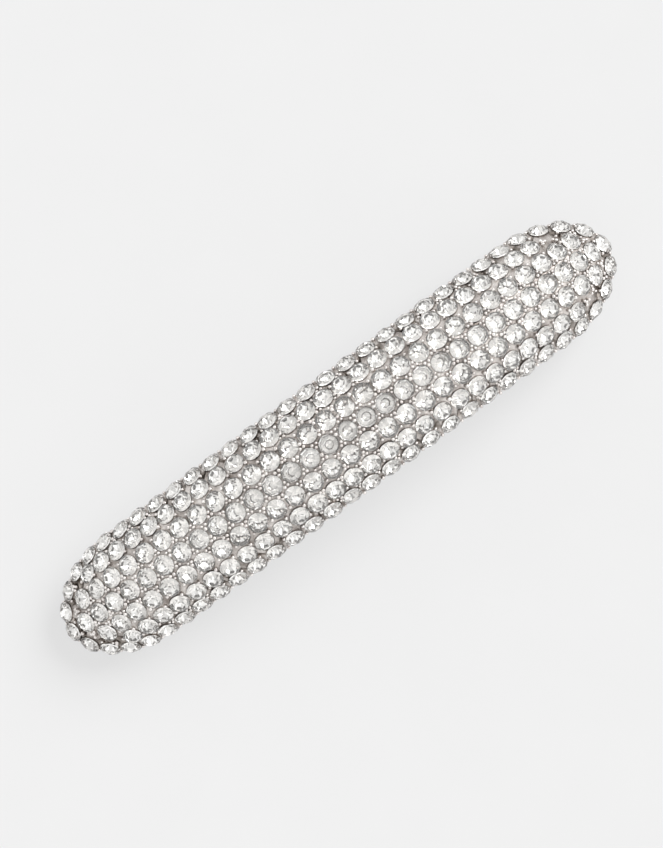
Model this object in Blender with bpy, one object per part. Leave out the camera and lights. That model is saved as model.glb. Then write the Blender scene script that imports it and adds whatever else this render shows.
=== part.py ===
"""Rhinestone hair clip: an arched cast shell paved with round stones, on a steel snap clip.

X runs along the clip from the hinge to the catch, Y across it and Z up, away from the hair.
The origin is under the clip's middle, on the surface that it lies on. Units are metres.
"""
import math

import bmesh
import bpy
from mathutils import Matrix, Vector

GAP = 0.0003                # clearance between pieces that touch on the real clip

# Shell: a dome that is bent along an arch.
ARCH_R = 0.096              # radius of the shell's rim, along the clip
RIM_Z = 0.0133              # height of the rim at the clip's middle
HALF_LENGTH = 0.0489        # along the arch
HALF_WIDTH = 0.0088
END_LENGTH = 0.0130         # length of the rounded end
CROWN = 0.0063              # height of the girdle surface above the rim, at the middle
DOME_R = 0.0097             # radius of the girdle surface, across the clip
DOME_LIMIT = 0.98 * DOME_R  # the farthest down the dome that the surface reaches
FALL_LENGTH = 0.0145         # stretch over which the crown falls to the end
FALL = 0.50                 # how fast it falls, against the fall across the clip
SKIN_DROP = 0.00035         # metal below the girdle surface
RIM_INSET = 0.00045         # how far the wall leans in, from the paving down to the rim
WALL = 0.0009               # thickness of the rim
THICKNESS = 0.0020          # thickness of the dome, which holds the stones' points
SKIN_SCALES = (0.0, 0.22, 0.45, 0.67, 0.86, 1.0)
INSIDE_SCALES = (1.0, 0.75, 0.4, 0.0)
FLANK_STATIONS = (0.0235, 0.0195, 0.0155, 0.0115, 0.0075, 0.0038, 0.0)
END_STEPS = 6               # steps round a quarter of an end

# Stones
STONE_R = 0.00146
STONE_SIDES = 8
STONE_BOTTOM = -0.00005     # below the girdle surface
STONE_TOP = 0.00075         # above the girdle surface
TABLE_R = 0.0007
ROW_MIDDLE = 0.0003         # the rows' middle, along the arch
ROW_END = 0.0035            # the rows stop this far from the tip
INNER_Y = 0.0030
OUTER_Y = 0.00572
OUTER_TUCK = 0.00075        # how far the outer rows turn in at the ends
TUCK_LENGTH = 0.0082        # stretch over which they turn in
RING_INSET = 0.00098        # from the flank's outline to the outermost ring of stones
RING_END_INSET = 0.00148    # and from the tip's outline
CENTRE_PITCH = 0.00326
INNER_PITCH = 0.00323
OUTER_PITCH = 0.00311
CENTRE_SIDE = 15            # stones on each side of the middle
INNER_SIDE = 14
OUTER_HINGE_SIDE = 14
OUTER_CATCH_SIDE = 13
RING_HINGE_GAPS = 16        # spaces in a quarter of the ring
RING_CATCH_GAPS = 15
RING_END_SPACES = 3         # spaces from the tip to the flank row
RING_STEPS = 60             # steps round a quarter of the ring's end
RING_CROWD = 0.078          # how much the ring's stones crowd towards the hinge end

# Clip
PLATE_THICKNESS = 0.0007
PLATE_TOP = 0.0002          # above the rim
PLATE_HALF = 0.0395         # half length along the arch
PLATE_HALF_WIDTH = 0.0036
PLATE_FLARE = 0.0006        # how much wider the plate is at its ends, on each side
PLATE_STEPS = 24
PAD_S = 0.0300              # place of the shell's riveting pads, along the arch
PAD_HALF = 0.0025
RIVET_R = 0.0007
RIVET_HEAD_R = 0.0013
RIVET_HEAD = 0.0005
RIVET_TOP = 0.0022          # above the rim
HEAD_FLAT = 0.7             # radius of a head's flat, against the head's own
HEAD_EDGE = 0.3             # height of a head's edge, against the head's own
PIN = Vector((-0.0358, 0.0, 0.0018))
PIN_R = 0.0006
PIN_HEAD_R = 0.0010
PIN_HEAD = 0.0004
PIN_BEVEL = 0.0002
EAR_INNER = 0.0031
EAR_THICKNESS = 0.0005
EAR_HALF = 0.0015
EAR_FOOT = 0.0009           # half width of the ear's foot
EAR_FOOT_RISE = 0.0010
EAR_ROOT = (-0.0005, 0.0003)    # the ear's top edge within the plate, outer and inner
ARM_THICKNESS = 0.0007
ARM_Z = 0.00165             # centre of the arm at its ends
ARM_RISE = 0.0038
ARM_HALF_SPAN = 0.0332
ARM_HALF_WIDTH = 0.0030
NECK_HALF_WIDTH = 0.0015
NECK = 0.0012               # from the pin to the start of the arm and of the bow
ARM_STEPS = 20
KNUCKLE_R = 0.0014
KNUCKLE_HALF = 0.0016
WINDOW = (0.0338, 0.0370)   # along X
WINDOW_HALF = 0.00205
WINDOW_TOP = 0.0040
THUMB_END = 0.0432
THUMB_SLOPE = Vector((0.45, 0, 1)).normalized()
BOW_THICKNESS = 0.0004
BOW_Z = 0.0111              # centre of the bow at its middle
BOW_R = 0.0793
BOW_END = 0.0308
BOW_HALF_WIDTH = 0.0028
BOW_LOOP_R = 0.0013
BOW_LOOP = (0.0019, 0.0028)
BOW_STEPS = 18
BOW_TIP = Vector((0.0009, 0, -0.00055))
BOW_TIP_WIDTH = 0.6         # width of the bow's tip, against the bow's own
BOW_SLOT = (-0.0010, 0.0042)    # along X from the pin
BOW_SLOT_TOP = 0.0070
CATCH = (0.0342, 0.0366)    # the prongs, along X
PRONG_TOP = 0.0052
PRONG_PIVOT_Z = 0.0050
PRONG_INNER = 0.0012
PRONG_THICKNESS = 0.0005
PRONG_BOTTOM = 0.00035
HOOK_OUT = 0.0008
HOOK = (0.0008, 0.0010)     # heights of the hook's outer edge
BLOCK_BOTTOM = 0.0039
BLOCK_HALF = 0.0009
BLOCK_ENDS = (0.0010, 0.0012)   # how far the block runs past the prongs
CATCH_RIVET_R = 0.0005
CATCH_RIVET_DEPTH = 0.0008
CATCH_HOLE_DEPTH = 0.0011
CATCH_HEAD = ((0.0010, 0.0), (0.0010, 0.0002), (0.0006, 0.0004), (0.0, 0.0004))

SHARP = math.radians(35)
STEPS = 360                 # samples along a row's path
STEP = 1e-5                 # the step that the surface's slope is taken over
TINY = 1e-6
PAST = 0.001                # how far a drill runs past the faces it cuts
ROUND_SIDES = 12
BORE_SIDES = 16
FLAT_UP = Vector((0, 0, 1))

COLOURS = {
    "cast_metal": ((0.60, 0.58, 0.575, 1), 0.30, 1.0),
    "crystal": ((0.90, 0.91, 0.93, 1), 0.06, 0.0),
    "steel": ((0.62, 0.62, 0.63, 1), 0.25, 1.0),
    "spring_steel": ((0.52, 0.53, 0.55, 1), 0.32, 1.0),
}


def clear():
    for item in list(bpy.data.objects):
        bpy.data.objects.remove(item, do_unlink=True)


def material(name):
    found = bpy.data.materials.get(name)
    if found:
        return found
    made = bpy.data.materials.new(name)
    made.use_nodes = True
    shader = made.node_tree.nodes["Principled BSDF"]
    colour, roughness, metallic = COLOURS[name]
    shader.inputs["Base Color"].default_value = colour
    shader.inputs["Roughness"].default_value = roughness
    shader.inputs["Metallic"].default_value = metallic
    made.diffuse_color = colour
    return made


def add(name, bm, finish, pivot=Vector((0, 0, 0))):
    """Makes the piece's object, with its origin at pivot."""
    bmesh.ops.remove_doubles(bm, verts=bm.verts, dist=1e-7)
    bmesh.ops.translate(bm, verts=bm.verts, vec=-pivot)
    bmesh.ops.recalc_face_normals(bm, faces=bm.faces)
    mesh = bpy.data.meshes.new(name)
    bm.to_mesh(mesh)
    bm.free()
    mesh.shade_smooth()
    mesh.set_sharp_from_angle(angle=SHARP)
    mesh.materials.append(material(finish))
    piece = bpy.data.objects.new(name, mesh)
    piece.location = pivot
    bpy.context.collection.objects.link(piece)
    return piece


def boolean(target, tool, operation):
    tool.hide_render = True
    tool.display_type = "WIRE"
    modifier = target.modifiers.new(operation.lower(), "BOOLEAN")
    modifier.operation = operation
    modifier.object = tool


def loft(bm, loops, capped=True, wrapped=False):
    """Joins loops of points into a skin; wrapped joins the last loop to the first."""
    rings = [[bm.verts.new(point) for point in loop] for loop in loops]
    pairs = list(zip(rings, rings[1:]))
    if wrapped:
        pairs.append((rings[-1], rings[0]))
    for low, high in pairs:
        for i in range(len(low)):
            j = (i + 1) % len(low)
            bm.faces.new((low[i], low[j], high[j], high[i]))
    if capped and not wrapped:
        bm.faces.new(rings[0])
        bm.faces.new(rings[-1])


def turned(bm, profile, place, sides, wrapped=False):
    """Turns a profile of (radius, height) about Z, and moves it by the matrix place."""
    loops = []
    for radius, height in profile:
        angles = [2 * math.pi * i / sides for i in range(sides)]
        loop = [Vector((radius * math.cos(a), radius * math.sin(a), height)) for a in angles]
        loops.append([place @ point for point in loop])
    loft(bm, loops, wrapped=wrapped)


def along_y(x, z):
    """A place whose Z axis is the clip's Y axis."""
    return Matrix.Translation((x, 0, z)) @ Matrix.Rotation(-math.pi / 2, 4, "X")


def slab(bm, outline, low, high):
    """Extrudes an outline of (x, z) points from y=low to y=high."""
    loft(bm, [[Vector((x, y, z)) for x, z in outline] for y in (low, high)])


# ---- The shell's surface ----

def arch(s, y, height):
    """The point at s along the arch, y across it and height above the rim."""
    angle = s / ARCH_R
    radius = ARCH_R + height
    return Vector((radius * math.sin(angle), y, radius * math.cos(angle) - ARCH_R + RIM_Z))


def upright(s, height):
    """A place on the arch whose Z axis points away from its centre."""
    return Matrix.Translation(arch(s, 0, height)) @ Matrix.Rotation(s / ARCH_R, 4, "Y")


def girdle_height(s, y):
    """Height above the rim of the surface that the stones' girdles lie in."""
    past = max(0.0, abs(s) - (HALF_LENGTH - FALL_LENGTH))
    reach = min(math.hypot(y, FALL * past), DOME_LIMIT)
    return CROWN - DOME_R + math.sqrt(DOME_R ** 2 - reach ** 2)


def seat(s, y):
    """A stone's place on the girdle surface and the surface's normal there."""
    point = arch(s, y, girdle_height(s, y))
    before, after = s - STEP, s + STEP
    along = arch(after, y, girdle_height(after, y)) - arch(before, y, girdle_height(before, y))
    before, after = y - STEP, y + STEP
    across = arch(s, after, girdle_height(s, after)) - arch(s, before, girdle_height(s, before))
    return point, along.cross(across).normalized()


def quarter(s_side, y_side, insets, middle, end_steps, flank):
    """A quarter of the outline from the tip to the middle of a flank, as (s, y) points.

    It lies inside the outline by insets, at the tip and at the flank.
    """
    centre = HALF_LENGTH - END_LENGTH
    length, width = END_LENGTH - insets[0], HALF_WIDTH - insets[1]
    turns = [math.pi / 2 * i / end_steps for i in range(end_steps + 1)]
    points = [(centre + length * math.cos(t), width * math.sin(t)) for t in turns]
    points += [(centre + (s_side * middle - centre) * f, width) for f in flank]
    return [(s_side * s, y_side * y) for s, y in points]


# ---- Cast shell ----

def shell_loop(inset, scale, level, stations):
    """A closed loop round the shell, drawn in towards its long middle line by scale."""
    centre = HALF_LENGTH - END_LENGTH
    corners = ((1, 1), (-1, 1), (-1, -1), (1, -1))
    quarters = [quarter(*sides, (inset, inset), 0.0, END_STEPS, stations) for sides in corners]
    outline = quarters[0] + quarters[1][-2::-1] + quarters[2][1:] + quarters[3][-2:0:-1]
    loop = []
    for s, y in outline:
        core = max(-centre, min(centre, s))
        s_in, y_in = core + (s - core) * scale, y * scale
        loop.append(arch(s_in, y_in, level(s_in, y_in)))
    return loop


def cast_body():
    centre = HALF_LENGTH - END_LENGTH
    edges = (PAD_S + PAD_HALF + GAP, PAD_S + PAD_HALF, PAD_S - PAD_HALF, PAD_S - PAD_HALF - GAP)
    stations = [1 - s / centre for s in edges + FLANK_STATIONS]

    def outside(s, y):
        return girdle_height(s, y) - SKIN_DROP

    def inside(s, y):
        if PAD_S - PAD_HALF - TINY < abs(s) < PAD_S + PAD_HALF + TINY:
            return PLATE_TOP + GAP
        return girdle_height(s, y) - SKIN_DROP - THICKNESS

    def rim(s, y):
        return 0.0

    loops = [shell_loop(0.0, scale, outside, stations) for scale in SKIN_SCALES]
    opening = RIM_INSET + WALL
    loops.append(shell_loop(RIM_INSET, 1.0, rim, stations))
    loops.append(shell_loop(opening, 1.0, rim, stations))
    loops += [shell_loop(opening, scale, inside, stations) for scale in INSIDE_SCALES]
    bm = bmesh.new()
    loft(bm, loops, capped=False)
    body = add("cast_body", bm, "cast_metal")
    holes = bmesh.new()
    for side in (-1, 1):
        depth = ((RIVET_R + GAP, -PAST), (RIVET_R + GAP, RIVET_TOP + GAP))
        turned(holes, depth, upright(side * PAD_S, 0.0), ROUND_SIDES)
    boolean(body, add("rivet_holes_cutter", holes, "cast_metal"), "DIFFERENCE")


# ---- Stones ----

def spaced(path, offsets):
    """Points on the path at these distances along the surface from its start."""
    places = [seat(s, y)[0] for s, y in path]
    reached = [0.0]
    for before, after in zip(places, places[1:]):
        reached.append(reached[-1] + (after - before).length)
    found, i = [], 0
    for offset in offsets:
        offset = min(offset, reached[-1])
        while reached[i + 1] < offset:
            i += 1
        part = (offset - reached[i]) / (reached[i + 1] - reached[i])
        found.append(tuple(a + (b - a) * part for a, b in zip(path[i], path[i + 1])))
    return found


def row(y, pitch, hinge_side, catch_side, middle_stone):
    """A lengthwise row, from the hinge end to the catch end."""
    centre = HALF_LENGTH - END_LENGTH
    first = pitch if middle_stone else pitch / 2
    halves = []
    for side, count in ((-1, hinge_side), (1, catch_side)):
        path = []
        for i in range(STEPS):
            s = ROW_MIDDLE + side * (HALF_LENGTH - ROW_END) * i / STEPS
            past = max(0.0, abs(s) - centre) / TUCK_LENGTH
            tuck = OUTER_TUCK * past ** 2 if abs(y) > INNER_Y else 0.0
            path.append((s, y - math.copysign(tuck, y)))
        halves.append(spaced(path, [first + pitch * i for i in range(count)]))
    middle = [(ROW_MIDDLE, y)] if middle_stone else []
    return halves[0][::-1] + middle + halves[1]


def ring_quarter(s_side, y_side):
    """The outermost stones from the tip to the flank's middle, both included."""
    gaps = RING_HINGE_GAPS if s_side < 0 else RING_CATCH_GAPS
    flank = [i / STEPS for i in range(1, STEPS + 1)]
    insets = (RING_END_INSET, RING_INSET)
    path = quarter(s_side, y_side, insets, ROW_MIDDLE, RING_STEPS, flank)
    length = sum((seat(*b)[0] - seat(*a)[0]).length for a, b in zip(path, path[1:]))
    crowd = RING_CROWD if s_side < 0 else 0.0
    parts = [i / gaps for i in range(gaps + 1)]
    return spaced(path, [length * (part - crowd * part * (1 - part) ** 2) for part in parts])


def stones(name, places):
    """Cut stones in a chain: each is linked to the next by a bridge of its setting glue."""
    bm = bmesh.new()
    seats = [seat(*place) for place in places]
    sides = []
    for i, (point, normal) in enumerate(seats):
        before = seats[max(0, i - 1)][0]
        after = seats[min(len(seats) - 1, i + 1)][0]
        along = (after - before).normalized()
        across = normal.cross(along).normalized()
        along = across.cross(normal)
        rings = []
        for radius, level in ((STONE_R, STONE_BOTTOM), (TABLE_R, STONE_TOP)):
            ring = []
            for k in range(STONE_SIDES):
                angle = 2 * math.pi * (k + 0.5) / STONE_SIDES
                spot = along * (radius * math.cos(angle)) + across * (radius * math.sin(angle))
                ring.append(bm.verts.new(point + normal * level + spot))
            rings.append(ring)
        bottom, top = rings
        bm.faces.new(bottom[::-1])
        bm.faces.new(top)
        open_sides = set()
        if i > 0:
            open_sides.add(STONE_SIDES // 2 - 1)
        if i < len(seats) - 1:
            open_sides.add(STONE_SIDES - 1)
        for k in range(STONE_SIDES):
            j = (k + 1) % STONE_SIDES
            if k not in open_sides:
                bm.faces.new((bottom[k], bottom[j], top[j], top[k]))
        sides.append((bottom, top))
    for (bottom, top), (next_bottom, next_top) in zip(sides, sides[1:]):
        last, half = STONE_SIDES - 1, STONE_SIDES // 2
        here = (bottom[last], bottom[0], top[0], top[last])
        there = (next_bottom[half], next_bottom[half - 1], next_top[half - 1], next_top[half])
        for k in range(4):
            j = (k + 1) % 4
            bm.faces.new((here[j], here[k], there[k], there[j]))
    add(name, bm, "crystal")


def all_stones():
    stones("stones_centre_row", row(0.0, CENTRE_PITCH, CENTRE_SIDE, CENTRE_SIDE, False))
    for label, y_side in (("left", 1), ("right", -1)):
        inner = row(y_side * INNER_Y, INNER_PITCH, INNER_SIDE, INNER_SIDE, True)
        outer = row(y_side * OUTER_Y, OUTER_PITCH, OUTER_HINGE_SIDE, OUTER_CATCH_SIDE, False)
        stones("stones_inner_row_" + label, inner)
        stones("stones_outer_row_" + label, outer)
        hinge_part = ring_quarter(-1, y_side)[RING_END_SPACES:]
        catch_part = ring_quarter(1, y_side)[RING_END_SPACES:]
        stones("stones_flank_row_" + label, hinge_part + catch_part[-2::-1])
    for label, s_side in (("hinge_end", -1), ("catch_end", 1)):
        left = ring_quarter(s_side, 1)[:RING_END_SPACES]
        right = ring_quarter(s_side, -1)[1:RING_END_SPACES]
        stones("stones_" + label, left[::-1] + right)


# ---- Snap clip ----

def strip(bm, stations, thickness):
    """A strip through stations of (point, normal, half width)."""
    loops = []
    for point, normal, half_width in stations:
        side = Vector((0, half_width, 0))
        up = normal * (thickness / 2)
        loops.append([point + side + up, point - side + up, point - side - up, point + side - up])
    loft(bm, loops)


def plate_underside(x):
    """Height of the base plate's lower face at x."""
    radius = ARCH_R + PLATE_TOP - PLATE_THICKNESS
    return math.sqrt(radius ** 2 - x ** 2) - ARCH_R + RIM_Z


def base_plate():
    stations = []
    level = PLATE_TOP - PLATE_THICKNESS / 2
    for i in range(PLATE_STEPS + 1):
        s = PLATE_HALF * (2 * i / PLATE_STEPS - 1)
        taper = PLATE_FLARE * (s / PLATE_HALF) ** 2
        normal = Vector((math.sin(s / ARCH_R), 0, math.cos(s / ARCH_R)))
        stations.append((arch(s, 0, level), normal, PLATE_HALF_WIDTH + taper))
    bm = bmesh.new()
    strip(bm, stations, PLATE_THICKNESS)
    plate = add("base_plate", bm, "steel")
    for label, side in (("left", 1), ("right", -1)):
        ear = bmesh.new()
        root = plate_underside(PIN.x) + PLATE_THICKNESS / 2
        outline = [(PIN.x - EAR_FOOT, 0.0), (PIN.x + EAR_FOOT, 0.0), (PIN.x + EAR_HALF, EAR_FOOT_RISE)]
        outline += [(PIN.x + EAR_HALF, root + EAR_ROOT[1]), (PIN.x - EAR_HALF, root + EAR_ROOT[0])]
        outline += [(PIN.x - EAR_HALF, EAR_FOOT_RISE)]
        edges = sorted((side * EAR_INNER, side * (EAR_INNER + EAR_THICKNESS)))
        slab(ear, outline, *edges)
        boolean(plate, add("ear_" + label + "_guide", ear, "steel"), "UNION")
    holes = bmesh.new()
    bore_end = EAR_INNER + EAR_THICKNESS + PAST
    bore = ((PIN_R + GAP, -bore_end), (PIN_R + GAP, bore_end))
    turned(holes, bore, along_y(PIN.x, PIN.z), BORE_SIDES)
    for side in (-1, 1):
        deep = ((RIVET_R + GAP, -PAST), (RIVET_R + GAP, PAST))
        turned(holes, deep, upright(side * PAD_S, level), ROUND_SIDES)
    deep = ((CATCH_RIVET_R + GAP, -PAST), (CATCH_RIVET_R + GAP, PAST))
    turned(holes, deep, upright(catch_station(), level), ROUND_SIDES)
    boolean(plate, add("plate_holes_cutter", holes, "steel"), "DIFFERENCE")


def fixing_rivets():
    for label, side in (("hinge_end", -1), ("catch_end", 1)):
        under = PLATE_TOP - PLATE_THICKNESS - GAP
        bm = bmesh.new()
        profile = [(0.0, under - RIVET_HEAD), (HEAD_FLAT * RIVET_HEAD_R, under - RIVET_HEAD)]
        profile += [(RIVET_HEAD_R, under - HEAD_EDGE * RIVET_HEAD), (RIVET_HEAD_R, under)]
        profile += [(RIVET_R, under), (RIVET_R, RIVET_TOP), (0.0, RIVET_TOP)]
        turned(bm, profile, upright(side * PAD_S, 0.0), ROUND_SIDES)
        add("fixing_rivet_" + label, bm, "steel")


def hinge_pin():
    end = EAR_INNER + EAR_THICKNESS + GAP
    head = end + PIN_HEAD
    flat = HEAD_FLAT * PIN_HEAD_R
    profile = [(0.0, -head), (flat, -head), (PIN_HEAD_R, -head + PIN_BEVEL), (PIN_HEAD_R, -end)]
    profile += [(PIN_R, -end), (PIN_R, end)]
    profile += [(PIN_HEAD_R, end), (PIN_HEAD_R, head - PIN_BEVEL), (flat, head), (0.0, head)]
    bm = bmesh.new()
    turned(bm, profile, along_y(PIN.x, PIN.z), ROUND_SIDES)
    add("hinge_pin", bm, "steel")


def ring_profile(outer, low, high):
    inner = PIN_R + GAP
    return [(inner, low), (outer, low), (outer, high), (inner, high)]


def swing_arm():
    """The clasp's arm: a curved strip with a knuckle, a window for the prongs and a thumb tab."""
    radius = (ARM_HALF_SPAN ** 2 + ARM_RISE ** 2) / (2 * ARM_RISE)
    stations = [(Vector((PIN.x + NECK, 0, ARM_Z)), FLAT_UP, NECK_HALF_WIDTH)]
    for i in range(ARM_STEPS + 1):
        x = ARM_HALF_SPAN * (2 * i / ARM_STEPS - 1)
        z = ARM_Z + ARM_RISE - radius + math.sqrt(radius ** 2 - x ** 2)
        normal = Vector((x / radius, 0, math.sqrt(1 - (x / radius) ** 2)))
        half_width = NECK_HALF_WIDTH if i == 0 else ARM_HALF_WIDTH
        stations.append((Vector((x, 0, z)), normal, half_width))
    low = ARM_THICKNESS / 2
    for x, z, normal, half_width in (
        (0.0339, ARM_Z, FLAT_UP, ARM_HALF_WIDTH),
        (0.0382, ARM_Z, FLAT_UP, ARM_HALF_WIDTH),
        (0.0390, 0.0010, THUMB_SLOPE, 0.0029),
        (0.0398, low, FLAT_UP, 0.0028),
        (0.0418, low, FLAT_UP, 0.0025),
        (0.0427, low, FLAT_UP, 0.0018),
        (THUMB_END, low, FLAT_UP, 0.0009),
    ):
        stations.append((Vector((x, 0, z)), normal, half_width))
    bm = bmesh.new()
    strip(bm, stations, ARM_THICKNESS)
    arm = add("swing_arm", bm, "steel", pivot=PIN)
    knuckle = bmesh.new()
    profile = ring_profile(KNUCKLE_R, -KNUCKLE_HALF, KNUCKLE_HALF)
    turned(knuckle, profile, along_y(PIN.x, PIN.z), BORE_SIDES, wrapped=True)
    boolean(arm, add("knuckle_guide", knuckle, "steel"), "UNION")
    window = bmesh.new()
    x0, x1 = WINDOW
    outline = [(x0, 0.0), (x1, 0.0), (x1, WINDOW_TOP), (x0, WINDOW_TOP)]
    slab(window, outline, -WINDOW_HALF, WINDOW_HALF)
    boolean(arm, add("window_cutter", window, "steel"), "DIFFERENCE")


def tension_bow():
    """The springy inner strip that presses the hair onto the arm."""
    def centre_line(x):
        return BOW_Z - BOW_R + math.sqrt(BOW_R ** 2 - x ** 2)

    start = PIN.x + NECK
    stations = []
    for i in range(BOW_STEPS + 1):
        x = start + (BOW_END - start) * i / BOW_STEPS
        normal = Vector((x / BOW_R, 0, math.sqrt(1 - (x / BOW_R) ** 2)))
        stations.append((Vector((x, 0, centre_line(x))), normal, BOW_HALF_WIDTH))
    stations.append((stations[-1][0] + BOW_TIP, stations[-1][1], BOW_TIP_WIDTH * BOW_HALF_WIDTH))
    bm = bmesh.new()
    strip(bm, stations, BOW_THICKNESS)
    bow = add("tension_bow", bm, "spring_steel", pivot=PIN)
    for label, side in (("left", 1), ("right", -1)):
        low, high = sorted((side * BOW_LOOP[0], side * BOW_LOOP[1]))
        loop = bmesh.new()
        profile = ring_profile(BOW_LOOP_R, low, high)
        turned(loop, profile, along_y(PIN.x, PIN.z), BORE_SIDES, wrapped=True)
        boolean(bow, add("bow_loop_" + label + "_guide", loop, "spring_steel"), "UNION")
        stem = bmesh.new()
        x0, x1 = PIN.x + 0.0002, PIN.x + 0.0017
        outline = [(x0, PIN.z + 0.0010), (x0 + 0.0008, PIN.z + 0.0007), (x1 + 0.0004, centre_line(x1))]
        outline += [(x1, centre_line(x1) + 0.0001)]
        slab(stem, outline, low, high)
        boolean(bow, add("bow_stem_" + label + "_guide", stem, "spring_steel"), "UNION")
    slot = bmesh.new()
    x0, x1 = PIN.x + BOW_SLOT[0], PIN.x + BOW_SLOT[1]
    outline = [(x0, 0.0), (x1, 0.0), (x1, BOW_SLOT_TOP), (x0, BOW_SLOT_TOP)]
    slab(slot, outline, -BOW_LOOP[0], BOW_LOOP[0])
    boolean(bow, add("bow_slot_cutter", slot, "spring_steel"), "DIFFERENCE")


def catch_station():
    """The catch rivet's place along the arch."""
    return ARCH_R * math.asin((CATCH[0] + CATCH[1]) / 2 / ARCH_R)


def catch_block():
    bm = bmesh.new()
    x0, x1 = CATCH[0] - BLOCK_ENDS[0], CATCH[1] + BLOCK_ENDS[1]
    top = [(x, plate_underside(x) - GAP) for x in (x1, (x0 + x1) / 2, x0)]
    slab(bm, [(x0, BLOCK_BOTTOM), (x1, BLOCK_BOTTOM)] + top, -BLOCK_HALF, BLOCK_HALF)
    block = add("catch_block", bm, "steel")
    hole = bmesh.new()
    depth = PLATE_TOP - PLATE_THICKNESS
    hole_r = CATCH_RIVET_R + GAP / 2
    profile = ((hole_r, depth - CATCH_HOLE_DEPTH), (hole_r, depth + PAST))
    turned(hole, profile, upright(catch_station(), 0.0), ROUND_SIDES)
    boolean(block, add("block_hole_cutter", hole, "steel"), "DIFFERENCE")
    rivet = bmesh.new()
    head = PLATE_TOP + GAP
    foot = depth - CATCH_RIVET_DEPTH
    profile = [(0.0, foot), (CATCH_RIVET_R, foot), (CATCH_RIVET_R, head)]
    profile += [(radius, head + height) for radius, height in CATCH_HEAD]
    turned(rivet, profile, upright(catch_station(), 0.0), ROUND_SIDES)
    add("catch_rivet", rivet, "steel")


def catch_prongs():
    """Two springy prongs that are squeezed together to let the arm go."""
    for label, side in (("left", 1), ("right", -1)):
        inner, outer = PRONG_INNER, PRONG_INNER + PRONG_THICKNESS
        outline = [(inner, PRONG_TOP), (inner, PRONG_BOTTOM), (outer, PRONG_BOTTOM)]
        outline += [(outer + HOOK_OUT, HOOK[0]), (outer + HOOK_OUT, HOOK[1]), (outer, HOOK[1])]
        outline += [(outer, PRONG_TOP)]
        loops = [[Vector((x, side * y, z)) for y, z in outline] for x in CATCH]
        bm = bmesh.new()
        loft(bm, loops)
        pivot = Vector((sum(CATCH) / 2, side * (inner + outer) / 2, PRONG_PIVOT_Z))
        add("catch_prong_" + label, bm, "spring_steel", pivot=pivot)


def main():
    clear()
    cast_body()
    all_stones()
    base_plate()
    fixing_rivets()
    hinge_pin()
    swing_arm()
    tension_bow()
    catch_block()
    catch_prongs()


main()
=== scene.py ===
"""The looks of the rhinestone hair clip: cut stones in cups, a cast shell with setting beads,
and the steel snap clip beneath."""
import math
import random

import bmesh
import bpy
from mathutils import Matrix, Vector, geometry

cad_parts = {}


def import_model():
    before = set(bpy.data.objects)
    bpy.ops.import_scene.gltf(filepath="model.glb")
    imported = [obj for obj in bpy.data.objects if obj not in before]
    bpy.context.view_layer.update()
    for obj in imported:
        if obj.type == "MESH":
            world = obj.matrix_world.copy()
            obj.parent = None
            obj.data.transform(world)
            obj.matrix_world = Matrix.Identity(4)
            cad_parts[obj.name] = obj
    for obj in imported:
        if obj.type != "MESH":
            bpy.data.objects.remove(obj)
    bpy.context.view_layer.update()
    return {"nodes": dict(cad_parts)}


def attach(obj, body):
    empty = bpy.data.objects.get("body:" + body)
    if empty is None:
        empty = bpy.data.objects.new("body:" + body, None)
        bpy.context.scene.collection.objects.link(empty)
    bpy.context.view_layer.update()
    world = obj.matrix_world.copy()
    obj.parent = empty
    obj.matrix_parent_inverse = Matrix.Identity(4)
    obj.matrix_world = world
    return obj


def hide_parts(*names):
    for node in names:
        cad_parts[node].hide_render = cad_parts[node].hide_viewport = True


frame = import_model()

# ---- The shell's shape, as in the CAD, in metres ----
ARCH_R = 0.096
RIM_Z = 0.0133
HALF_LENGTH = 0.0489
HALF_WIDTH = 0.0088
END_LENGTH = 0.0130
CROWN = 0.0063
DOME_R = 0.0097
DOME_LIMIT = 0.98 * DOME_R      # the farthest down the dome that the surface reaches
FALL_LENGTH = 0.0145
FALL = 0.50
SKIN_DROP = 0.00035
RIM_INSET = 0.00045
WALL = 0.0009
THICKNESS = 0.0020
PAD_S = 0.0300
PAD_HALF = 0.0025
PAD_LEVEL = 0.0005
CAD_STONE_BOTTOM = 0.00005      # depth of a CAD stone's lower face below its girdle
CAD_STONE_AREA = 4e-6           # a stone's lower face is larger than this, its table smaller
CAD_STONE_SIDES = 8
COPLANAR = math.radians(0.05)   # faces of one flat face agree to this
STEP = 1e-5                     # the step that the surface's slope is taken over
TINY = 1e-6

# ---- Stones ----
STONE_R = 0.00149
CROWN_SIDES = 8
GIRDLE_STEPS = 3                # girdle segments for each crown facet
TABLE_R = 0.00078
CROWN_HEIGHT = 0.00055
GIRDLE = 0.00007
POINT_DEPTH = 0.00118
TILT = math.radians(4.0)        # how unevenly the stones are set
LIFT = 0.00004                  # how unevenly high they are

# ---- Cups, collars and beads ----
CUP_R = 0.00142
CUP_SIDES = 24
CUP_RIM = -0.00020              # the cup's edge, against the girdle
CUP_STEPS = ((0.00140, -0.00046), (0.00040, -0.00142))
COLLAR = 0.00008                # width of the collar round a stone
COLLAR_OUT = 0.75               # how much of that width lies outside the stone
COLLAR_TOP = -0.00006
COLLAR_BOTTOM = -0.00030
GAP_DEPTH = -0.00026            # the skin's level between the stones
DEEP_GAP_DEPTH = -0.00070       # and beside the outermost stones, where the gap is narrow
LEAST_ROOM = 0.00002            # a gap with less room than this is left alone
WIDE_GAP = 0.00048              # a gap with more room than this is paved like the rest
BEAD_R = 0.00030
SMALL_BEAD_R = 0.00027
LONE_BEAD_ROOM = 0.00036        # a gap smaller than this holds one bead
OUTLINE_INSET = 0.00020         # the paving's edge, inside the widest line of the stones
SCALLOP = 0.00065               # how far the outline draws in between the outermost stones
SCALLOP_FROM = 0.52             # where it starts, from a stone (0) to midway (1)
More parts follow.
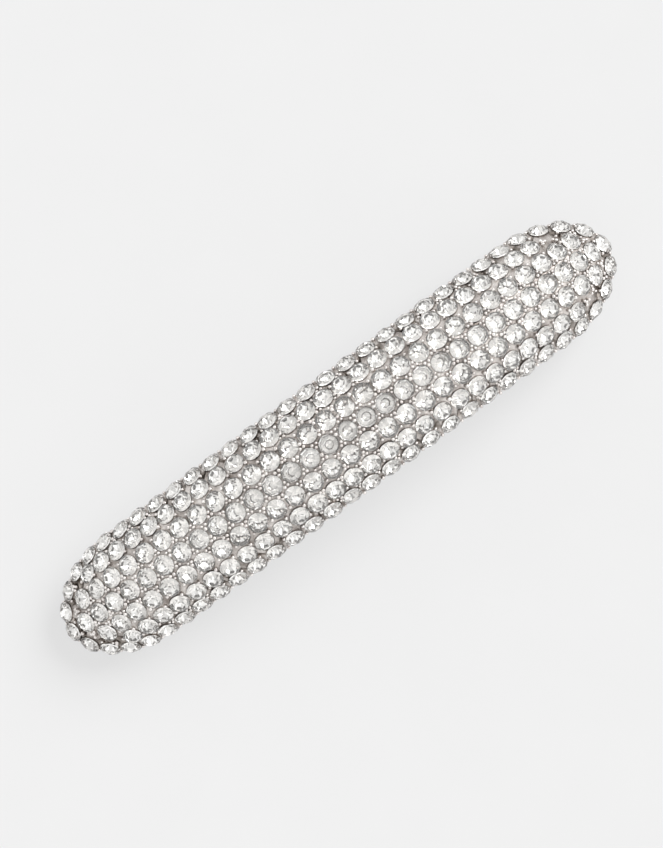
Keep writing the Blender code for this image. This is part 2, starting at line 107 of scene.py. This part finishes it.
SHALLOW, DEEP = -1, -2          # kinds of gap, where a cup's edge has its own number
CUP_CLEARANCE = 0.00006
STONE_CLEARANCE = 0.00001
COLLAR_SIDES = 24
NEXT_IN_RING = 0.0038           # neighbouring outermost stones are closer than this
RING_CORE = 0.0359              # the rounded ends' centres
EDGE_BEAD_OUT = 0.00025
BEAD_SPREAD = 0.00034           # from a gap's middle to its beads
WIDEST_SPREAD = 1.8             # how far a wide gap's beads spread, against a narrow one's
BEAD_REACHES = (0.7, 1.15)      # how unevenly far the beads lie from a gap's middle
BEAD_SIZES = (0.85, 1.2)
BEAD_STRETCHES = (0.85, 1.15)
BEAD_LEVELS = (-0.00004, 0.00010)
DEEP_BEAD_DROP = 0.00012
OUTSIDE_ROOM = 1.0              # stands for the open room outside the outermost stones
LONGEST_GAP = 0.0056            # the farthest that two neighbouring stones are apart
EDGE_GAP = 0.0003               # the pads' step
PAD_STEPS, FLANK_STEPS, END_STEPS = 10, 54, 30
RIM_ROUND = 0.00014
INSIDE_SCALES = (1.0, 0.9, 0.75, 0.58, 0.4, 0.2, 0.0)
MERGE = 2e-7                    # points of one loop and the next are this close
SHELL_SHARP, COLLAR_SHARP, BEAD_SHARP = math.radians(32), math.radians(40), math.radians(60)

# ---- Stage ----
LIGHT_FROM = (1.0, 0.16, 0.85)
KEY_ENERGY = 0.9
SHADOW_ENERGY = 4.0
LIGHT_ANGLE = math.radians(35)
SIDE_LIGHT = (0.96, 1.26)       # the world's brightness towards the hinge and the catch
# The world's brightness by height: 0.5 is the horizon and 1 straight overhead.
SKY = ((0.35, 1.14), (0.75, 1.14), (0.90, 1.0), (0.975, 0.70), (0.994, 0.28))
SKY_LOWEST, SKY_HIGHEST = 1.0, 0.25
PANEL_SCALE = 3.0
PANEL_SHADES = ((0.40, 0.62), (0.60, 1.18))
FLOOR_WHITE = 0.12
FLOOR_UNEVEN = 0.002
FLOOR_Z = -0.00005
FLOOR_GLOW = 0.635              # light from under the pale sheet, which softens the shadow

STONE_ROWS = [name for name in sorted(frame["nodes"]) if name.startswith("stones_")]


# ---- Helpers ----

def new_object(name, bm, materials, smooth_angle=None):
    mesh = bpy.data.meshes.new(name)
    bm.to_mesh(mesh)
    bm.free()
    for item in materials:
        mesh.materials.append(item)
    if smooth_angle is None:
        mesh.shade_flat()
    else:
        mesh.shade_smooth()
        mesh.set_sharp_from_angle(angle=smooth_angle)
    made = bpy.data.objects.new(name, mesh)
    bpy.context.scene.collection.objects.link(made)
    return made


def arch(s, y, height):
    angle = s / ARCH_R
    radius = ARCH_R + height
    return Vector((radius * math.sin(angle), y, radius * math.cos(angle) - ARCH_R + RIM_Z))


def plan(point):
    """The place along and across the arch of a point in space."""
    return Vector((ARCH_R * math.atan2(point.x, point.z - RIM_Z + ARCH_R), point.y))


def girdle_height(s, y):
    past = max(0.0, abs(s) - (HALF_LENGTH - FALL_LENGTH))
    reach = min(math.hypot(y, FALL * past), DOME_LIMIT)
    return CROWN - DOME_R + math.sqrt(DOME_R ** 2 - reach ** 2)


def on_surface(s, y, level=0.0):
    """A point at this level above the girdle surface."""
    before, after = s - STEP, s + STEP
    along = arch(after, y, girdle_height(after, y)) - arch(before, y, girdle_height(before, y))
    before, after = y - STEP, y + STEP
    across = arch(s, after, girdle_height(s, after)) - arch(s, before, girdle_height(s, before))
    return arch(s, y, girdle_height(s, y)) + along.cross(across).normalized() * level


def square_to(normal):
    """Two directions at right angles to the normal and to each other."""
    along = Vector((1, 0, 0))
    along = (along - normal * along.dot(normal)).normalized()
    return along, normal.cross(along)


def seats_of(node):
    """The stones' seats, from the CAD stones' lower faces: (girdle centre, normal, outermost)."""
    outermost = any(part in node for part in ("flank", "end"))
    bm = bmesh.new()
    bm.from_mesh(frame["nodes"][node].data)
    bmesh.ops.remove_doubles(bm, verts=bm.verts, dist=TINY)
    bmesh.ops.dissolve_limit(bm, angle_limit=COPLANAR, verts=bm.verts, edges=bm.edges)
    found = []
    for face in bm.faces:
        if len(face.verts) == CAD_STONE_SIDES and face.calc_area() > CAD_STONE_AREA:
            normal = -face.normal
            centre = face.calc_center_median() + normal * CAD_STONE_BOTTOM
            found.append((centre, normal, outermost))
    bm.free()
    return sorted(found, key=lambda seat: (seat[0].x, seat[0].y))


# ---- Materials ----

def principled(name, colour, roughness, metallic, **sockets):
    made = bpy.data.materials.new(name)
    made.use_nodes = True
    made.diffuse_color = (*colour, 1)
    shader = made.node_tree.nodes["Principled BSDF"]
    shader.inputs["Base Color"].default_value = (*colour, 1)
    shader.inputs["Roughness"].default_value = roughness
    shader.inputs["Metallic"].default_value = metallic
    for socket, value in sockets.items():
        shader.inputs[socket.replace("_", " ")].default_value = value
    return made


def ramp(made, texture_output, low, high, start=0.35, end=0.65):
    node = made.node_tree.nodes.new("ShaderNodeValToRGB")
    node.color_ramp.elements[0].position = start
    node.color_ramp.elements[1].position = end
    node.color_ramp.elements[0].color = low
    node.color_ramp.elements[1].color = high
    made.node_tree.links.new(texture_output, node.inputs["Fac"])
    return node


def grey(value):
    return (value, value, value, 1)


def noise_of(made, scale, detail=4.0, stretch=(1, 1, 1), rough=0.6):
    """A noise in object space; scale is in cells per metre."""
    nodes, links = made.node_tree.nodes, made.node_tree.links
    coords = nodes.new("ShaderNodeTexCoord")
    mapping = nodes.new("ShaderNodeMapping")
    mapping.inputs["Scale"].default_value = stretch
    texture = nodes.new("ShaderNodeTexNoise")
    texture.inputs["Scale"].default_value = scale
    texture.inputs["Detail"].default_value = detail
    texture.inputs["Roughness"].default_value = rough
    links.new(coords.outputs["Object"], mapping.inputs["Vector"])
    links.new(mapping.outputs["Vector"], texture.inputs["Vector"])
    return texture.outputs["Fac"]


def bump(made, height, strength, distance):
    nodes, links = made.node_tree.nodes, made.node_tree.links
    node = nodes.new("ShaderNodeBump")
    node.inputs["Strength"].default_value = strength
    node.inputs["Distance"].default_value = distance
    links.new(height, node.inputs["Height"])
    links.new(node.outputs["Normal"], nodes["Principled BSDF"].inputs["Normal"])


def plated(name, low, high, smooth, rough):
    made = principled(name, high[:3], rough, 1.0)
    links, shader = made.node_tree.links, made.node_tree.nodes["Principled BSDF"]
    tone = ramp(made, noise_of(made, 420), low, high)
    links.new(tone.outputs["Color"], shader.inputs["Base Color"])
    worn = ramp(made, noise_of(made, 900), grey(smooth), grey(rough))
    links.new(worn.outputs["Color"], shader.inputs["Roughness"])
    return made


def cast_metal():
    made = plated("cast_metal", (0.66, 0.615, 0.59, 1), (0.90, 0.87, 0.845, 1), 0.14, 0.30)
    bump(made, noise_of(made, 2600, detail=5), 0.35, 0.00004)
    return made


def shaded_paving_metal():
    """The rougher metal between the stones, darker than the wall and rim's metal: painted shade
    between the stones, over a random tone.
    """
    # Its colours run darker than the cast metal's: painted shade on the paving between the stones.
    made = plated("shaded_paving_metal", (0.24, 0.21, 0.19, 1), (0.74, 0.70, 0.67, 1), 0.20, 0.36)
    bump(made, noise_of(made, 3400, detail=5), 0.9, 0.00008)
    return made


def painted_shade_metal():
    """Dark metal for the cup walls, the collars and the deep gaps: painted shade round the stones."""
    # Near black to mid grey: painted shade in the cups and gaps round the stones.
    return plated("painted_shade_metal", (0.07, 0.056, 0.044, 1), (0.50, 0.455, 0.42, 1), 0.25, 0.45)


def crystal():
    made = principled("crystal", (0.99, 0.99, 0.985), 0.02, 0.0, Transmission_Weight=1.0, IOR=1.54)
    links, shader = made.node_tree.links, made.node_tree.nodes["Principled BSDF"]
    haze = ramp(made, noise_of(made, 700), grey(0.0), grey(0.05))
    links.new(haze.outputs["Color"], shader.inputs["Roughness"])
    return made


def foil():
    made = principled("foil_back", (0.93, 0.92, 0.90), 0.06, 0.78)
    links, shader = made.node_tree.links, made.node_tree.nodes["Principled BSDF"]
    tone = ramp(made, noise_of(made, 500), (0.93, 0.915, 0.895, 1), (0.99, 0.98, 0.965, 1))
    links.new(tone.outputs["Color"], shader.inputs["Base Color"])
    return made


def pressed_steel(name, low, high, roughness):
    made = principled(name, high[:3], roughness, 1.0)
    links, shader = made.node_tree.links, made.node_tree.nodes["Principled BSDF"]
    grain = noise_of(made, 500, stretch=(0.12, 1, 1))
    tone = ramp(made, grain, low, high)
    links.new(tone.outputs["Color"], shader.inputs["Base Color"])
    worn = ramp(made, noise_of(made, 240), grey(roughness - 0.08), grey(roughness + 0.10))
    links.new(worn.outputs["Color"], shader.inputs["Roughness"])
    bump(made, grain, 0.25, 0.00003)
    return made


# ---- Stones ----

def cut_stone(bm, place):
    """A round brilliant of one table, eight crown facets, a scalloped girdle and a foiled point."""
    per_turn = CROWN_SIDES * GIRDLE_STEPS
    half = math.pi / CROWN_SIDES
    reach = TABLE_R * math.cos(half)
    crown_slope = (CROWN_HEIGHT - GIRDLE) / (STONE_R - reach)
    point_slope = (POINT_DEPTH - GIRDLE) / STONE_R
    table, upper, lower = [], [], []
    for k in range(CROWN_SIDES):
        angle = 2 * half * (k - 0.5)
        x, y = TABLE_R * math.cos(angle), TABLE_R * math.sin(angle)
        table.append(bm.verts.new(place @ Vector((x, y, CROWN_HEIGHT))))
        for i in range(GIRDLE_STEPS):
            away = half * (2 * i / GIRDLE_STEPS - 1)
            turn = 2 * half * k + away
            x, y = STONE_R * math.cos(turn), STONE_R * math.sin(turn)
            back = STONE_R * (1 - math.cos(away))
            upper.append(bm.verts.new(place @ Vector((x, y, GIRDLE + back * crown_slope))))
            lower.append(bm.verts.new(place @ Vector((x, y, -GIRDLE - back * point_slope))))
    point = bm.verts.new(place @ Vector((0, 0, -POINT_DEPTH)))
    bm.faces.new(table)
    for k in range(CROWN_SIDES):
        span = [(k * GIRDLE_STEPS + i) % per_turn for i in range(GIRDLE_STEPS + 1)]
        bm.faces.new([table[k]] + [upper[i] for i in span] + [table[(k + 1) % CROWN_SIDES]])
        bm.faces.new([point] + [lower[i] for i in reversed(span)]).material_index = 1
    for i in range(per_turn):
        j = (i + 1) % per_turn
        bm.faces.new((upper[i], lower[i], lower[j], upper[j]))


def room_at(centre, seats):
    """Half the distance from a stone to its nearest neighbour."""
    return min((centre - other[0]).length for other in seats if other[0] is not centre) / 2


def set_stones(name, seats, everyone, rng, materials):
    bm = bmesh.new()
    for centre, normal, outermost in seats:
        size = min(1.0, (room_at(centre, everyone) - STONE_CLEARANCE) / STONE_R)
        along, across = square_to(normal)
        lean = along * rng.uniform(-TILT, TILT) + across * rng.uniform(-TILT, TILT)
        normal = (normal + lean).normalized()
        along, across = square_to(normal)
        centre = centre + normal * rng.uniform(-LIFT, LIFT)
        frame_at = Matrix((along, across, normal)).transposed().to_4x4()
        turn = Matrix.Rotation(rng.uniform(0, 2 * math.pi), 4, "Z")
        cut_stone(bm, Matrix.Translation(centre) @ frame_at @ turn @ Matrix.Scale(size, 4))
    bmesh.ops.recalc_face_normals(bm, faces=bm.faces)
    return new_object(name, bm, materials)


# ---- Cast shell ----

def quarter(s_side, y_side, inset, end_steps, flank):
    centre = HALF_LENGTH - END_LENGTH
    length, width = END_LENGTH - inset, HALF_WIDTH - inset
    turns = [math.pi / 2 * i / end_steps for i in range(end_steps + 1)]
    points = [(centre + length * math.cos(t), width * math.sin(t)) for t in turns]
    points += [(centre * (1 - f), width) for f in flank]
    return [(s_side * s, y_side * y) for s, y in points]


def shell_outline(inset):
    """The outline as (s, y) points, denser at the pads' edges."""
    centre = HALF_LENGTH - END_LENGTH
    outer, inner = PAD_S + PAD_HALF, PAD_S - PAD_HALF
    before = outer + EDGE_GAP
    spans = [before + (centre - before) * i / PAD_STEPS for i in range(PAD_STEPS - 1, -1, -1)]
    spans += [outer - 2 * PAD_HALF * i / PAD_STEPS for i in range(PAD_STEPS + 1)]
    spans += [(inner - EDGE_GAP) * i / FLANK_STEPS for i in range(FLANK_STEPS, -1, -1)]
    flank = [1 - s / centre for s in spans]
    corners = ((1, 1), (-1, 1), (-1, -1), (1, -1))
    parts = [quarter(*sides, inset, END_STEPS, flank) for sides in corners]
    return parts[0] + parts[1][-2::-1] + parts[2][1:] + parts[3][-2:0:-1]


def drawn_in(s, y, ring):
    """How far the outline draws in here, between the outermost stones."""
    here = Vector((s, y))
    first, second = sorted(ring, key=lambda place: (place - here).length)[:2]
    pitch = (first - second).length
    between = 1 - ((second - here).length_squared - (first - here).length_squared) / pitch ** 2
    part = max(0.0, min(1.0, (between - SCALLOP_FROM) / (1 - SCALLOP_FROM)))
    return SCALLOP * part * part * (3 - 2 * part)


def shell_loop(inset, scale, level, dents=None):
    """A loop round the shell, drawn in towards its long middle line by scale or by the dents."""
    centre = HALF_LENGTH - END_LENGTH
    loop = []
    for i, (s, y) in enumerate(shell_outline(inset)):
        core = max(-centre, min(centre, s))
        away = Vector((s - core, y))
        factor = scale if dents is None else 1 - (OUTLINE_INSET + dents[i]) / away.length
        s_in, y_in = core + away.x * factor, away.y * factor
        loop.append(arch(s_in, y_in, level(s_in, y_in)))
    return loop


def inside_level(s, y):
    if PAD_S - PAD_HALF - TINY < abs(s) < PAD_S + PAD_HALF + TINY:
        return PAD_LEVEL
    return girdle_height(s, y) - SKIN_DROP - THICKNESS


def gaps_between(seats):
    """The gaps between stones: (middle, corners, distance to the nearest girdle, deep)."""
    points = [plan(centre) for centre, normal, outermost in seats]
    triangles = geometry.delaunay_2d_cdt(points, [], [], 0, 1e-7)[2]
    gaps = []
    for triangle in triangles:
        corners = [seats[i][0] for i in triangle]
        if max((a - b).length for a in corners for b in corners) < LONGEST_GAP:
            middle = plan(sum(corners, Vector()) / 3)
            spot = on_surface(middle.x, middle.y)
            room = min((spot - corner).length for corner in corners) - STONE_R
            deep = room < WIDE_GAP and any(seats[i][2] for i in triangle)
            if room > LEAST_ROOM:
                gaps.append((spot, corners, room, deep))
    return gaps


def cup_rings(centre, normal, seats):
    along, across = square_to(normal)
    radius = min(CUP_R, room_at(centre, seats) - CUP_CLEARANCE)
    rings = []
    for ring_r, level in ((radius, CUP_RIM), *CUP_STEPS):
        ring_r = min(ring_r, radius)
        ring = []
        for k in range(CUP_SIDES):
            angle = 2 * math.pi * k / CUP_SIDES
            side = along * math.cos(angle) + across * math.sin(angle)
            ring.append(centre + normal * level + side * ring_r)
        rings.append(ring)
    return rings


def skin_faces(bm, outline, cups, gaps):
    """The paved skin: faces between the outline, the cups' edges and the low middles of the gaps."""
    spots, points, groups, edges = [], [], [], []
    for group, loop in enumerate([outline] + [rings[0] for rings in cups]):
        first = len(points)
        spots.extend(loop)
        points.extend(plan(spot) for spot in loop)
        groups.extend([group] * len(loop))
        edges.extend((first + i, first + (i + 1) % len(loop)) for i in range(len(loop)))
    for spot, corners, room, deep in gaps:
        place = plan(spot)
        spots.append(on_surface(place.x, place.y, DEEP_GAP_DEPTH if deep else GAP_DEPTH))
        points.append(place)
        groups.append(DEEP if deep else SHALLOW)
    result = geometry.delaunay_2d_cdt(points, edges, [], 1, 1e-8)
    found, faces, origins = result[0], result[2], result[3]
    assert len(found) == len(points), "the skin's edges cross"
    verts = [bm.verts.new(spots[origin[0]]) for origin in origins]
    for face in faces:
        kinds = {groups[origins[i][0]] for i in face}
        inside_cup = len(kinds) == 1 and min(kinds) > 0
        if not inside_cup:
            made = bm.faces.new([verts[i] for i in face])
            # Faces at deep gaps take the dark metal, painted shade; the rest take the paving metal,
            # whose darker tone is painted shade too.
            made.material_index = 2 if DEEP in kinds else 1


def cast_shell(seats, gaps, materials):
    """The shell as one closed skin: paved top with a cup for each stone, wall, rim and hollow back."""
    bm = bmesh.new()
    ring = [plan(centre) for centre, normal, outermost in seats if outermost]
    dents = [drawn_in(s, y, ring) for s, y in shell_outline(0.0)]
    half_dents = [dent / 2 - OUTLINE_INSET / 2 for dent in dents]
    paving = lambda s, y: girdle_height(s, y) - SKIN_DROP
    outline = shell_loop(0.0, 1.0, paving, dents)
    cups = [cup_rings(centre, normal, seats) for centre, normal, outermost in seats]
    skin_faces(bm, outline, cups, gaps)
    # The cup walls and bottoms take the dark metal: painted shade inside the cups.
    for rings in cups:
        loops = [[bm.verts.new(spot) for spot in loop] for loop in rings]
        for low, high in zip(loops, loops[1:]):
            for k in range(CUP_SIDES):
                j = (k + 1) % CUP_SIDES
                bm.faces.new((low[k], low[j], high[j], high[k])).material_index = 2
        bm.faces.new(loops[-1]).material_index = 2
    flat = lambda height: (lambda s, y: height)
    opening = RIM_INSET + WALL
    loops = [outline, shell_loop(RIM_INSET / 2, 1.0, lambda s, y: paving(s, y) / 2, half_dents)]
    loops.append(shell_loop(RIM_INSET, 1.0, flat(RIM_ROUND)))
    loops.append(shell_loop(RIM_INSET + RIM_ROUND, 1.0, flat(0.0)))
    loops.append(shell_loop(opening - RIM_ROUND, 1.0, flat(0.0)))
    loops.append(shell_loop(opening, 1.0, flat(RIM_ROUND)))
    loops += [shell_loop(opening, scale, inside_level) for scale in INSIDE_SCALES]
    rings = [[bm.verts.new(spot) for spot in loop] for loop in loops]
    for low, high in zip(rings, rings[1:]):
        for k in range(len(low)):
            j = (k + 1) % len(low)
            bm.faces.new((low[k], low[j], high[j], high[k]))
    bmesh.ops.remove_doubles(bm, verts=bm.verts, dist=MERGE)
    bmesh.ops.recalc_face_normals(bm, faces=bm.faces)
    return new_object("cast_shell", bm, materials, SHELL_SHARP)


def setting_collars(seats, metal):
    """A thin collar round each stone, just below its girdle."""
    bm = bmesh.new()
    for centre, normal, outermost in seats:
        along, across = square_to(normal)
        outer = min(STONE_R + COLLAR * COLLAR_OUT, room_at(centre, seats))
        inner = outer - COLLAR
        profile = [(inner, COLLAR_BOTTOM), (inner, COLLAR_TOP)]
        profile += [(outer, COLLAR_TOP), (outer, COLLAR_BOTTOM)]
        loops = []
        for radius, level in profile:
            turns = [2 * math.pi * k / COLLAR_SIDES for k in range(COLLAR_SIDES)]
            sides = [along * math.cos(turn) + across * math.sin(turn) for turn in turns]
            loops.append([bm.verts.new(centre + normal * level + side * radius) for side in sides])
        for low, high in zip(loops, loops[1:] + loops[:1]):
            for k in range(COLLAR_SIDES):
                j = (k + 1) % COLLAR_SIDES
                bm.faces.new((low[k], low[j], high[j], high[k]))
    bmesh.ops.recalc_face_normals(bm, faces=bm.faces)
    return new_object("setting_collars", bm, [metal], COLLAR_SHARP)


def edge_gaps(seats):
    """The notches outside the outermost stones: (middle, two stones, room, deep)."""
    ring = [seat for seat in seats if seat[2]]
    gaps = []
    for i, (centre, normal, outermost) in enumerate(ring):
        for other, other_normal, other_outermost in ring[:i]:
            if (centre - other).length < NEXT_IN_RING:
                place = (plan(centre) + plan(other)) / 2
                core = Vector((max(-RING_CORE, min(RING_CORE, place.x)), 0))
                place += (place - core).normalized() * EDGE_BEAD_OUT
                gaps.append((on_surface(place.x, place.y), (centre, other), OUTSIDE_ROOM, True))
    return gaps


def ball():
    """A unit ball, as its points and faces."""
    bm = bmesh.new()
    bmesh.ops.create_icosphere(bm, subdivisions=2, radius=1.0)
    points = [vert.co.copy() for vert in bm.verts]
    faces = [[vert.index for vert in face.verts] for face in bm.faces]
    bm.free()
    return points, faces


def setting_beads(gaps, rng, metal):
    """The beads that hold the stones' edges: one in a small gap, otherwise three or four."""
    bm = bmesh.new()
    points, faces = ball()
    for spot, corners, room, deep in gaps:
        place = plan(spot)
        normal = (on_surface(place.x, place.y, 1.0) - spot).normalized()
        along, across = square_to(normal)
        turn = Matrix((along, across, normal)).transposed().to_4x4()
        if room < LONE_BEAD_ROOM:
            centres = [(spot, max(SMALL_BEAD_R, min(BEAD_R, room)))]
        else:
            channels = [(a + b) / 2 for a, b in zip(corners, corners[1:] + corners[:1])]
            if len(corners) == 2:
                channels = [corners[0], corners[1], 2 * spot - channels[0]]
            reach = BEAD_SPREAD * min(WIDEST_SPREAD, room / LONE_BEAD_ROOM)
            centres = [(spot, BEAD_R)] if WIDE_GAP < room < OUTSIDE_ROOM else []
            for channel in channels:
                away = channel - spot
                away = (away - normal * away.dot(normal)).normalized()
                centres.append((spot + away * reach * rng.uniform(*BEAD_REACHES), SMALL_BEAD_R))
        for centre, size in centres:
            size *= rng.uniform(*BEAD_SIZES)
            level = rng.uniform(*BEAD_LEVELS) - (DEEP_BEAD_DROP if deep else 0.0)
            shape = Matrix.Diagonal((size, size * rng.uniform(*BEAD_STRETCHES), size, 1))
            place_at = Matrix.Translation(centre + normal * level) @ turn
            whole = place_at @ shape
            verts = [bm.verts.new(whole @ point) for point in points]
            for face in faces:
                bm.faces.new([verts[i] for i in face])
    return new_object("setting_beads", bm, [metal], BEAD_SHARP)


# ---- The stage ----

def camera():
    """Looks straight down on the clip, which runs from the lower left to the upper right."""
    lens_mm = 130.0
    roll, lean, nod = math.radians(36.22), math.radians(-0.97), math.radians(0.23)
    offset = Vector((0.0010, -0.0020, -0.4461))
    turn = Matrix.Rotation(nod, 3, "X") @ Matrix.Rotation(lean, 3, "Y") @ Matrix.Rotation(roll, 3, "Z")
    data = bpy.data.cameras.new("camera")
    data.lens = lens_mm
    data.sensor_width = 36.0
    data.clip_start = 0.01
    made = bpy.data.objects.new("camera", data)
    back = turn.transposed()
    made.matrix_world = Matrix.Translation(back @ -offset) @ back.to_4x4()
    bpy.context.scene.collection.objects.link(made)
    bpy.context.scene.camera = made


def floor():
    bm = bmesh.new()
    bmesh.ops.create_grid(bm, x_segments=8, y_segments=8, size=1.5)
    paper = principled("floor_paper", (FLOOR_WHITE, FLOOR_WHITE, FLOOR_WHITE), 0.9, 0.0)
    links, shader = paper.node_tree.links, paper.node_tree.nodes["Principled BSDF"]
    low, high = grey(FLOOR_WHITE - FLOOR_UNEVEN), grey(FLOOR_WHITE + FLOOR_UNEVEN)
    tone = ramp(paper, noise_of(paper, 60), low, high)
    links.new(tone.outputs["Color"], shader.inputs["Base Color"])
    shader.inputs["Specular IOR Level"].default_value = 0.1
    shader.inputs["Emission Color"].default_value = grey(1.0)
    shader.inputs["Emission Strength"].default_value = FLOOR_GLOW
    made = new_object("floor", bm, [paper])
    made.location.z = FLOOR_Z


def world():
    """A pale studio: bright walls, softer panels, and a darker patch straight overhead."""
    made = bpy.data.worlds.new("studio")
    bpy.context.scene.world = made
    made.use_nodes = True
    nodes, links = made.node_tree.nodes, made.node_tree.links
    coords = nodes.new("ShaderNodeTexCoord")
    axes = nodes.new("ShaderNodeSeparateXYZ")
    links.new(coords.outputs["Generated"], axes.inputs["Vector"])
    height = nodes.new("ShaderNodeValToRGB")
    stops = height.color_ramp
    stops.elements[0].position, stops.elements[0].color = 0.0, grey(SKY_LOWEST)
    stops.elements[1].position, stops.elements[1].color = 1.0, grey(SKY_HIGHEST)
    for position, value in SKY:
        stops.elements.new(position).color = grey(value)
    links.new(axes.outputs["Z"], height.inputs["Fac"])
    panels = nodes.new("ShaderNodeTexNoise")
    panels.inputs["Scale"].default_value = PANEL_SCALE
    panels.inputs["Detail"].default_value = 1.0
    links.new(coords.outputs["Generated"], panels.inputs["Vector"])
    shade = nodes.new("ShaderNodeValToRGB")
    for stop, (position, value) in zip(shade.color_ramp.elements, PANEL_SHADES):
        stop.position, stop.color = position, grey(value)
    links.new(panels.outputs["Fac"], shade.inputs["Fac"])
    both = nodes.new("ShaderNodeMixRGB")
    both.blend_type = "MULTIPLY"
    both.inputs["Fac"].default_value = 1.0
    links.new(height.outputs["Color"], both.inputs["Color1"])
    links.new(shade.outputs["Color"], both.inputs["Color2"])
    side = nodes.new("ShaderNodeMapRange")
    side.inputs["From Min"].default_value = -1.0
    side.inputs["To Min"].default_value, side.inputs["To Max"].default_value = SIDE_LIGHT
    links.new(axes.outputs["X"], side.inputs["Value"])
    background = nodes["Background"]
    links.new(side.outputs["Result"], background.inputs["Strength"])
    links.new(both.outputs["Color"], background.inputs["Color"])


def sun(name, energy, on_object):
    """A wide soft light from the upper right; without on_object it only draws the shadow."""
    data = bpy.data.lights.new(name, "SUN")
    data.energy = energy
    data.angle = LIGHT_ANGLE
    made = bpy.data.objects.new(name, data)
    made.rotation_euler = Vector(LIGHT_FROM).to_track_quat("Z", "Y").to_euler()
    made.visible_glossy = on_object
    made.visible_transmission = on_object
    bpy.context.scene.collection.objects.link(made)


def main():
    rng = random.Random(7)
    # The second and third metals are darker: painted shade on the paving between the stones and in the
    # cups, collars and deep gaps.
    metal, between, shade_metal = cast_metal(), shaded_paving_metal(), painted_shade_metal()
    glass, back = crystal(), foil()
    rows = {node: seats_of(node) for node in STONE_ROWS}
    all_seats = [seat for seats in rows.values() for seat in seats]
    for node, seats in rows.items():
        row = set_stones(node.replace("stones", "crystals"), seats, all_seats, rng, [glass, back])
        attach(row, "clip")
        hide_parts(node)
    gaps = gaps_between(all_seats)
    shell = cast_shell(all_seats, gaps, [metal, between, shade_metal])
    # The collars take the dark metal: painted shade round each stone's girdle.
    collars = setting_collars(all_seats, shade_metal)
    beads = setting_beads(gaps + edge_gaps(all_seats), rng, metal)
    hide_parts("cast_body")
    for piece in (shell, collars, beads):
        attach(piece, "clip")
    steel = pressed_steel("pressed_steel", (0.50, 0.50, 0.51, 1), (0.72, 0.72, 0.725, 1), 0.26)
    spring = pressed_steel("spring_steel", (0.42, 0.43, 0.45, 1), (0.60, 0.61, 0.625, 1), 0.30)
    springy = ("tension_bow", "catch_prong_left", "catch_prong_right")
    for name, node in frame["nodes"].items():
        if name not in STONE_ROWS and name != "cast_body":
            node.data.materials.clear()
            node.data.materials.append(spring if name in springy else steel)
    floor()
    world()
    sun("key", KEY_ENERGY, True)
    sun("shadow", SHADOW_ENERGY, False)
    camera()
    bpy.context.scene.view_settings.view_transform = "Standard"


main()
